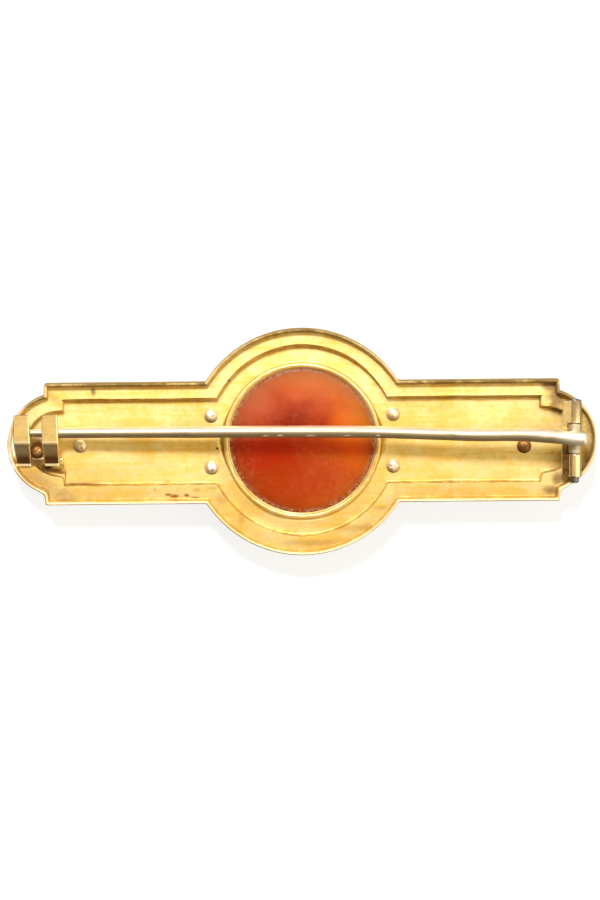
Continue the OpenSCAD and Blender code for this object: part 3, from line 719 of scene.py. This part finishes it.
# Each head leans its own way and is a little lumpy. Its groove is darkened as painted crease shade and dirt,
# and its lower side as painted shade. The last two rivets, in the shadow of the catch and of the pin, get a
# dark brown copy of the gold as painted shade.
for i, (x, y) in enumerate(rivet_places):
    rings = turned(rivet_section, rivet_around, x, y)
    above = np.clip(rings[..., 2] - panel_z - 0.15 * mm, 0, None)
    lumps = (0.09 * np.sin(2 * head_turn + 1.7 * i) + 0.06 * np.sin(3 * head_turn + 2.3 * i)
             + 0.04 * np.sin(5 * head_turn + i))
    from_middle = np.clip(np.hypot(rings[..., 0] - x, rings[..., 1] - y) / (head_r * mm), 0, 1)
    rings[..., 2] += above * lumps * np.sin(np.pi * from_middle)
    rings[..., :2] += 0.12 * np.sin(3.1 * i + np.arange(2)) * above[..., None]
    below = y - rings[..., 1]
    shaded = np.clip(below / (head_r * mm), 0, 1) * (rings[..., 2] > panel_z + 0.02 * mm)
    groove = np.exp(-groove_gap / (0.06 * mm)) * (0.3 + 0.7 * (below > 0))
    finish = shaded_rivet_gold if i >= shaded_from else rivet_gold
    make_piece(f"rivet_head_{i + 1}", [shell(rings)], "brooch", [f"rivet_{i + 1}"], finish,
               {"shade_and_dirt": np.maximum(groove, 0.85 * shaded)})

# Catch: two hooks bent from flat gold strip, side by side on one foot plate, with a post down to the panel.
# The pin lies under their flat tops and is sprung in from their open side.
hook_places = np.array([-28.4, -25.53]) * mm
hook_half = 0.81 * mm
ridge_y = 0.36 * mm
foot_z = border_z + 0.03 * mm
# Columns: across the bar, height, how far the corner is rounded
hook_side = np.array([
    [-2.24, 3.98, 0.03], [-2.24, 4.225, 0.04], [-1.94, 4.21, 0.03], [-0.95, 4.98, 0.4], [0.22, 6.02, 0.04],
    [0.33, 6.16, 0.03], [0.58, 6.15, 0.03], [2.3, 6.1, 0.5], [3.21, 6.04, 0.04], [3.21, 5.72, 0.06],
    [1.6, 5.78, 0.3], [0.5, 5.76, 0.1], [-1.38, 4.18, 0.05], [-1.38, 3.98, 0.03]]) * mm


def drawn_in(corners, inset):
    """A closed polygon moved inwards: each corner goes by inset (n + m) / (1 + n.m).

    n and m are the inward normals of the two sides that meet there.
    """
    c = np.asarray(corners, float)
    side = np.roll(c, -1, axis=0) - c
    side = side / np.linalg.norm(side, axis=1, keepdims=True)
    area = np.sum(c[:, 0] * np.roll(c[:, 1], -1) - c[:, 1] * np.roll(c[:, 0], -1))
    after = np.sign(area) * np.stack([-side[:, 1], side[:, 0]], axis=1)
    before = np.roll(after, 1, axis=0)
    return c + inset * (before + after) / (1 + np.sum(before * after, axis=1, keepdims=True))


def bar_rings(corners, reach, low, high, edge):
    """Rings of a bar with a rounded polygon for its section, from low to high.

    At both ends the section shrinks by edge (1 - sin t) while it goes edge (1 - cos t) along, t up to a
    quarter turn, which rounds the end edges.
    """
    t = np.linspace(0, np.pi / 2, 4)
    inset = np.concatenate([[1.5 * edge], edge * (1 - np.sin(t)), [0]])
    step = np.concatenate([[0], edge * (1 - np.cos(t)), [1.5 * edge]])
    insets = np.concatenate([inset, inset[::-1]])
    places = np.concatenate([low + step, (high - step)[::-1]])
    rings = []
    for i, place in zip(insets, places):
        line = rounded(drawn_in(corners, i), np.maximum(np.asarray(reach) - 0.4 * i, 0.01 * mm))
        rings.append(np.hstack([line, np.full((len(line), 1), place)]))
    return np.stack(rings)


def box_rings(low, high, edge):
    """Rings of an upright box between two corners, all its edges rounded."""
    (x0, y0, z0), (x1, y1, z1) = low, high
    return bar_rings([[x0, y0], [x1, y0], [x1, y1], [x0, y1]], [edge] * 4, z0, z1, edge)


hook_edge = 0.15 * mm
plate_edge = 0.05 * mm
toe_z = 4.228 * mm
catch_shells, catch_shade_and_film, catch_wear_and_highlight = [], [], []
# The hooks' slopes, which face away from the light, and their far top edges are darkened as painted shade,
# and the foot plate short of its end carries a dull brown film. The hooks' ridges, toes and side edges are
# paler, as wear and as painted highlights.
for x in hook_places:
    rings = bar_rings(hook_side[:, :2], hook_side[:, 2], -hook_half, hook_half, hook_edge)[:, :, [2, 0, 1]]
    from_ridge = np.abs(rings[..., 1] - ridge_y) / (2.4 * mm)
    rings[..., 0] *= 1.06 - 0.1 * np.clip(from_ridge, 0, 1)
    rings[..., 0] += x
    catch_shells.append(shell(rings))
    hook_x, hook_y, hook_z = rings.reshape(-1, 3).T
    side_edge = np.abs(hook_x - x) > 0.7 * mm
    on_ridge = (hook_y > 0.31 * mm) & (hook_y < 0.6 * mm) & (hook_z > 6 * mm)
    on_slope = (hook_z > toe_z) & (hook_z < 6.06 * mm) & (hook_y < 0.3 * mm)
    slope_shade = (0.4 + 0.8 * np.clip((6.0 * mm - hook_z) / (1.7 * mm), 0, 1)) * on_slope
    catch_shade_and_film.append((slope_shade + 0.9 * (hook_y > 3.17 * mm)) * np.where(side_edge, 0.15, 1))
    catch_wear_and_highlight.append(0.8 * ((hook_z < toe_z) | on_ridge | side_edge))
plate_low_y, plate_high_y, plate_end_x = -2.1 * mm, -1.44 * mm, -24.43 * mm
foot_plate = box_rings((-28.9 * mm, plate_low_y, foot_z), (plate_end_x, plate_high_y, foot_z + 0.25 * mm),
                       plate_edge)
foot_post = box_rings((-26.27 * mm, plate_low_y, panel_z + 0.03 * mm),
                      (plate_end_x, plate_high_y, foot_z + 0.1 * mm), plate_edge)
for rings in (foot_plate, foot_post):
    catch_shells.append(shell(rings))
    catch_shade_and_film.append(1.15 * (rings[..., 0].ravel() < -24.6 * mm))
    catch_wear_and_highlight.append(np.zeros(rings[..., 0].size))
# A darker brown patch lies on the foot plate between the hooks
strip_gold = metal("strip_gold", bright=(1.0, 0.83, 0.45), deep=(0.95, 0.68, 0.26), rough=(0.14, 0.24),
                   shade_and_film_colour=(0.085, 0.038, 0.009), film=0.1, patches=0.85, brush=0.15, grain=0.15,
                   stains_and_painted_light=[((0.16, 0.07, 0.014), 0.95, [(-26.97, -1.75, 0.8, 0.55)])],
                   shade_and_grime_mark="shade_and_dirt", wear_and_highlight_mark="wear_and_highlight")
make_piece("catch_hooks", catch_shells, "brooch", ["catch"], strip_gold,
           {"shade_and_dirt": np.concatenate(catch_shade_and_film), "wear_and_highlight": np.concatenate(catch_wear_and_highlight)})

# Hinge base: a plate soldered to the border with two rolled knuckles on leaves and a low stop strip
# between them, all gold.
axis_x = 27.65 * mm
axis_z = 5.4 * mm
knuckle_r = 0.68 * mm
bore_r = 0.46 * mm
hinge_y = 0.3 * mm
stop_x = 26.38 * mm
base_end_x = 28.33 * mm
leaf_edge = 0.05 * mm
# Order of the columns that lays an upright section across the bar
across_bar = [0, 2, 1]


def knuckle_rings(low, high):
    """Rings of a short tube round the hinge axis: its section of (radius, place along Y) goes round."""
    corners = [[knuckle_r, low], [knuckle_r, high], [bore_r, high], [bore_r, low]]
    return turned(rounded(corners, leaf_edge, steps=3), 56)[..., across_bar] + np.array([axis_x, 0, axis_z])


on_axis = np.array([axis_x, axis_z])
# Columns: place along the bar and height from the axis, how far the corner is rounded
upper_leaf = np.array([[-1.27, 0.1, 0.04], [-1.27, 0.5, 0.08], [-0.5, 0.54, 0.1], [-0.02, 0.58, 0.05],
                       [0.02, 0.1, 0.03]]) * mm
upper_foot = np.array([[-1.27, -1.47, 0.04], [-1.27, 0.3, 0.04], [0.1, 0.3, 0.04], [0.4, 0.0, 0.04],
                       [0.4, -1.47, 0.04]]) * mm
lower_leaf = np.array([[-1.27, -1.47, 0.04], [-1.27, 0.1, 0.06], [-0.7, 0.02, 0.1], [-0.4, 0.47, 0.06],
                       [0.0, 0.5, 0.05], [0.0, -0.6, 0.05], [-0.62, -1.47, 0.04]]) * mm


def leaf_rings(side, low, high):
    """Rings of a leaf: its side view, drawn from the axis, carried from low to high across the bar."""
    return bar_rings(side[:, :2] + on_axis, side[:, 2], low, high, leaf_edge)[..., across_bar]


base_plate = box_rings((stop_x, -2.61 * mm, foot_z), (base_end_x, 3.21 * mm, foot_z + 0.22 * mm), leaf_edge)
stop_strip = box_rings((stop_x, -1.3 * mm, foot_z), (stop_x + 0.55 * mm, 1.9 * mm, axis_z), 0.06 * mm)
# Columns: rings of a skin, whether they join up, how far it is rubbed, whether it is darkened at its lower
# left as painted shade, whether its upper end is darkened as painted shade over a glint
hinge_skins = [
    (base_plate, False, 0, 1, 0),
    (stop_strip, False, 0, 1, 0),
    (leaf_rings(upper_leaf, 1.9 * mm, 4.18 * mm), False, 0.3, 0, 1),
    (leaf_rings(upper_foot, 1.92 * mm, 3.2 * mm), False, 0, 0, 0),
    (leaf_rings(lower_leaf, -3.5 * mm, -1.3 * mm), False, 0, 1, 0),
    (knuckle_rings(1.9 * mm, 4.2 * mm), True, 0.2, 0, 1),
    (knuckle_rings(-3.6 * mm, -1.3 * mm), True, 0.3, 0, 0)]
hinge_shells, hinge_painted_shade, hinge_rubbed = [], [], []
for rings, closes, wear, dark_left, dark_end in hinge_skins:
    hinge_shells.append(shell(rings, joined=closes))
    skin_x, skin_y = rings[..., 0].ravel(), rings[..., 1].ravel()
    lower_left_part = (skin_x >= stop_x + 0.03 * mm) & (skin_x < axis_x - 0.6 * mm) & (skin_y < -0.3 * mm)
    hinge_painted_shade.append(dark_left * lower_left_part + 0.85 * dark_end * (skin_y > 4.12 * mm))
    hinge_rubbed.append(np.full(len(skin_x), wear))
make_piece("hinge_leaves", hinge_shells, "brooch", ["hinge_base"], strip_gold,
           {"shade_and_dirt": np.concatenate(hinge_painted_shade), "wear_and_highlight": np.concatenate(hinge_rubbed)})

# Hinge rod: a thin rod pushed through the three knuckles and riveted over. Its dull grey end stands out
# past the lower one.
rod_metal = metal("rod_metal", bright=(0.3, 0.32, 0.24), deep=(0.16, 0.17, 0.12), rough=(0.3, 0.45))
# Columns: radius, place along the axis, how far the corner is rounded
rod_section = np.array([[0.02, -4.25, 0], [0.4, -4.25, 0.1], [0.42, -4.1, 0.05], [0.42, 4.2, 0.05],
                        [0.38, 4.3, 0.04], [0.02, 4.3, 0]]) * mm
rod_line = rounded(rod_section[:, :2], rod_section[:, 2], closed=False)
rod_points = turned(rod_line, 40)[..., across_bar] + np.array([axis_x, 0, axis_z])
make_piece("hinge_pin_rod", [shell(rod_points)], "brooch", ["hinge_rod"], rod_metal)

# Pin: a drawn wire of paler gold, bent a little towards the hinge and filed to a point under the hooks. It
# is soldered over its own knuckle, which turns on the rod.
wire_r = 0.62 * mm
point_x = -28.7 * mm
root_x = 28.75 * mm
bend_x = 6.0 * mm
bend_soft = 4.0 * mm
pin_y = 1.3 * mm
pin_hook_z = 5.187 * mm
over_hinge_z = 6.58 * mm
# Columns: share of the way from the point to the root, share of the wire's radius
taper = np.array([[0, 0.06], [0.001, 0.16], [0.003, 0.26], [0.012, 0.44], [0.04, 0.68], [0.07, 0.86],
                  [0.25, 0.92], [0.4, 0.98], [0.75, 0.98], [0.85, 1.03], [0.92, 1.13], [0.97, 1.16],
                  [0.996, 1.2], [0.9985, 1.08], [1, 0.8]])
# Columns: place along the wire in mm, turn from its top to the upper side, depth and reach along it in mm
nicks = np.array([[-5.6, -0.9, 0.05, 0.2], [-4.2, -1.1, 0.04, 0.35], [15.2, -0.3, 0.06, 0.3],
                  [3.0, -1.0, 0.03, 0.2], [18.5, -0.8, 0.04, 0.25], [-12.0, -0.6, 0.03, 0.4],
                  [24.5, 0.2, 0.04, 0.5]])


def wire_rings():
    """The wire: rings about a path straight from the hooks, softly bent past bend_x, rising to the hinge.

    A ring's radius follows the taper, less a small bell-shaped dent at each nick. Beside the rings come two
    marks for their points: how far they face the lower side of the brooch, and how far the upper one.
    """
    share = np.unique(np.concatenate([taper[:, 0], np.linspace(0, 0.05, 14), np.linspace(0.05, 1, 150)]))
    x = (point_x + share * (root_x - point_x))[:, None]
    past = x - bend_x
    slope = (pin_y - hinge_y) / (root_x - bend_x)
    y = pin_y - slope * (past + np.sqrt(past**2 + bend_soft**2)) / 2
    y = y + 0.24 * mm * np.exp(-(((x - 23 * mm) / (4 * mm)) ** 2))
    z = pin_hook_z + (over_hinge_z - pin_hook_z) * (x - hook_places[1]) / (axis_x - hook_places[1])
    turn = np.linspace(0, 2 * np.pi, 40, endpoint=False)[None]
    radius = wire_r * np.interp(share, taper[:, 0], taper[:, 1])[:, None]
    for at, side, depth, reach in nicks:
        round_it = (np.sin(turn) - np.cos(side)) ** 2 + (np.cos(turn) - np.sin(side)) ** 2
        radius = radius - depth * mm * np.exp(-(((x / mm - at) / reach) ** 2) - 6 * round_it)
    radius = radius * (1 + 0.012 * np.sin(x / (2.3 * mm)) + 0.008 * np.sin(x / (0.9 * mm) + 1))
    rings = np.stack([x + 0 * turn, y + radius * np.cos(turn), z + radius * np.sin(turn)], axis=-1)
    near_root = np.clip((x - 26 * mm) / (2 * mm), 0, 1)
    faces_low = np.clip((-np.cos(turn) - 0.3) / 0.35, 0, 1) * (1 - 0.6 * near_root)
    faces_high = np.clip((np.cos(turn) - 0.6) / 0.2, 0, 1) + 0 * x
    return rings, faces_low, faces_high


# Painted highlights along the wire's lower side, under the nicks
nick_highlights = [(-3.7, 0.93, 0.4, 0.08), (-2.2, 0.96, 0.3, 0.08), (0.8, 0.92, 0.55, 0.07),
                 (4.6, 0.9, 0.5, 0.07), (7.7, 0.9, 0.3, 0.08)]
pin_gold = metal("pin_gold", bright=(0.52, 0.43, 0.27), deep=(0.45, 0.36, 0.2), rough=(0.44, 0.54),
                 film=0.15, patches=0.7, grain=0.3, stains_and_painted_light=[((0.95, 0.85, 0.66), 0.9, nick_highlights)],
                 shade_and_grime_mark="shade_and_dirt", wear_and_highlight_mark="wear_and_highlight")
wire, faces_low, faces_high = wire_rings()
handled = np.clip((wire[..., 0] - 25.2 * mm) / (2.5 * mm), 0, 0.8)
pin_knuckle = shell(knuckle_rings(-1.2 * mm, 1.8 * mm), joined=True)
knuckle_points = len(pin_knuckle[0])
# The wire's upper side is paler as a painted highlight and its root as wear; its lower side is darkened as
# painted shade
wire_wear_and_highlight = np.maximum(handled, 0.9 * faces_high)
make_piece("pin_wire", [shell(wire), pin_knuckle], "pin", ["pin"], pin_gold,
           {"shade_and_dirt": np.concatenate([0.5 * faces_low.ravel(), np.zeros(knuckle_points)]),
            "wear_and_highlight": np.concatenate([wire_wear_and_highlight.ravel(), np.full(knuckle_points, 0.3)])})
